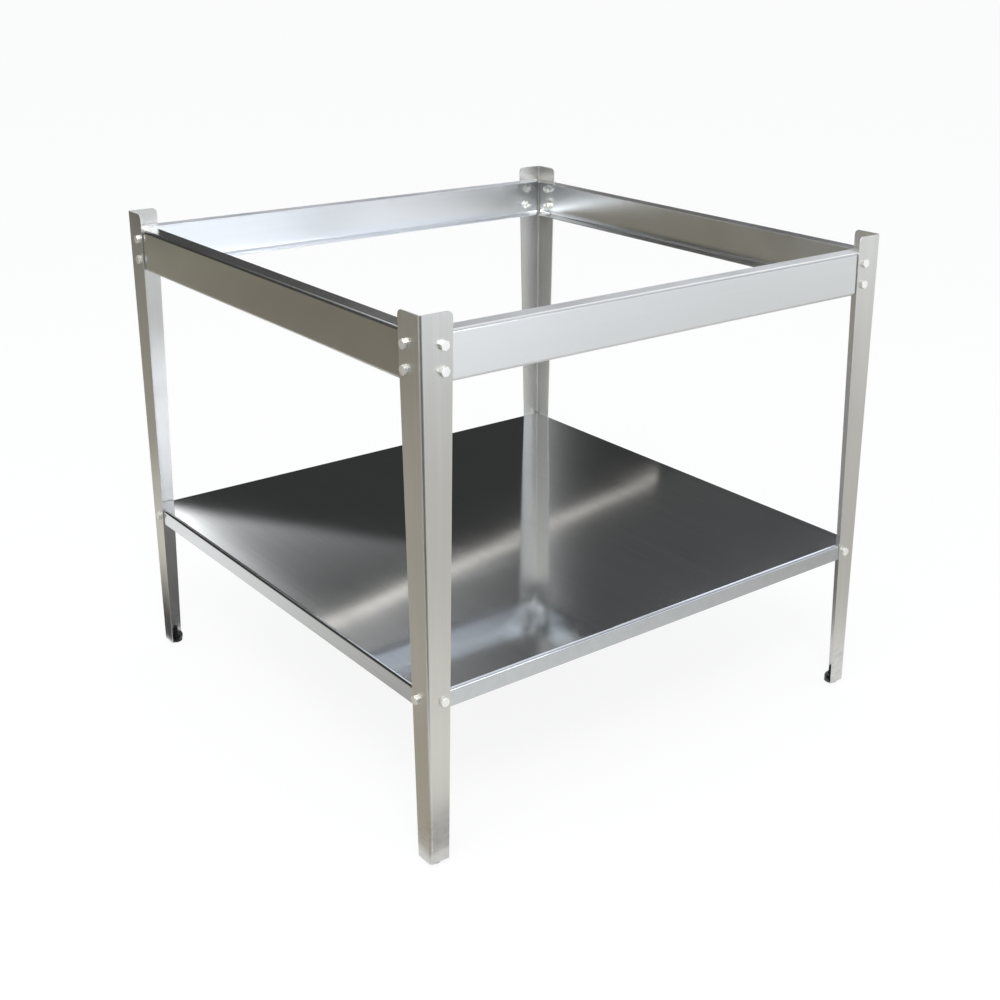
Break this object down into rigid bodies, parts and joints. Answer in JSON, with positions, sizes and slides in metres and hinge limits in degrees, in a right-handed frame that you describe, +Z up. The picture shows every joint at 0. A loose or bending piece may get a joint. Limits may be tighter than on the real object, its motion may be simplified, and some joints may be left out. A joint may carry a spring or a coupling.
{
  "type": "grill stand",
  "caption": "Square open stand of folded stainless sheet: angle legs that taper to levelling feet, channel rails round the top and a low tray shelf, for a grill or worktop.",
  "frame": {"origin": "on the floor at the middle of the stand, feet screwed in", "axes": "+Z up; +X to the right and -Y to the front of the view in the picture"},
  "size_m": [0.9106, 0.9106, 0.8213],
  "materials": {
    "leg_steel": "brushed along the leg",
    "rail_steel": "brushed along the rail",
    "shelf_steel": "brushed, smooth",
    "fastener_steel": "bright stainless",
    "foot_plate_steel": "black, half matt",
    "glide_plastic": "matt black"
  },
  "bodies": {
    "frame": {"leg_front_left": "leg_steel", "leg_front_right": "leg_steel", "leg_back_left": "leg_steel", "leg_back_right": "leg_steel", "foot_plate_front_left": "foot_plate_steel", "foot_plate_front_right": "foot_plate_steel", "foot_plate_back_left": "foot_plate_steel", "foot_plate_back_right": "foot_plate_steel", "foot_nut_front_left": "fastener_steel", "foot_nut_front_right": "fastener_steel", "foot_nut_back_left": "fastener_steel", "foot_nut_back_right": "fastener_steel", "rail_bolts_front_left": "fastener_steel", "rail_bolts_front_right": "fastener_steel", "rail_bolts_back_left": "fastener_steel", "rail_bolts_back_right": "fastener_steel", "rail_washers_front_left": "fastener_steel", "rail_washers_front_right": "fastener_steel", "rail_washers_back_left": "fastener_steel", "rail_washers_back_right": "fastener_steel", "rail_nuts_front_left": "fastener_steel", "rail_nuts_front_right": "fastener_steel", "rail_nuts_back_left": "fastener_steel", "rail_nuts_back_right": "fastener_steel", "shelf_bolts_front_left": "fastener_steel", "shelf_bolts_front_right": "fastener_steel", "shelf_bolts_back_left": "fastener_steel", "shelf_bolts_back_right": "fastener_steel", "shelf_washers_front_left": "fastener_steel", "shelf_washers_front_right": "fastener_steel", "shelf_washers_back_left": "fastener_steel", "shelf_washers_back_right": "fastener_steel", "shelf_nuts_front_left": "fastener_steel", "shelf_nuts_front_right": "fastener_steel", "shelf_nuts_back_left": "fastener_steel", "shelf_nuts_back_right": "fastener_steel", "rail_front": "rail_steel", "rail_back": "rail_steel", "rail_left": "rail_steel", "rail_right": "rail_steel", "shelf": "shelf_steel"},
    "foot_front_left": {"foot_stud_front_left": "fastener_steel", "foot_glide_front_left": "glide_plastic"},
    "foot_front_right": {"foot_stud_front_right": "fastener_steel", "foot_glide_front_right": "glide_plastic"},
    "foot_back_left": {"foot_stud_back_left": "fastener_steel", "foot_glide_back_left": "glide_plastic"},
    "foot_back_right": {"foot_stud_back_right": "fastener_steel", "foot_glide_back_right": "glide_plastic"}
  },
  "joints": [
    {"name": "foot_front_left_screw", "type": "slide", "parent": "frame", "child": "foot_front_left", "axis": [0, 0, -1], "range_m": [0, 0.015]},
    {"name": "foot_front_right_screw", "type": "slide", "parent": "frame", "child": "foot_front_right", "axis": [0, 0, -1], "range_m": [0, 0.015]},
    {"name": "foot_back_left_screw", "type": "slide", "parent": "frame", "child": "foot_back_left", "axis": [0, 0, -1], "range_m": [0, 0.015]},
    {"name": "foot_back_right_screw", "type": "slide", "parent": "frame", "child": "foot_back_right", "axis": [0, 0, -1], "range_m": [0, 0.015]}
  ]
}
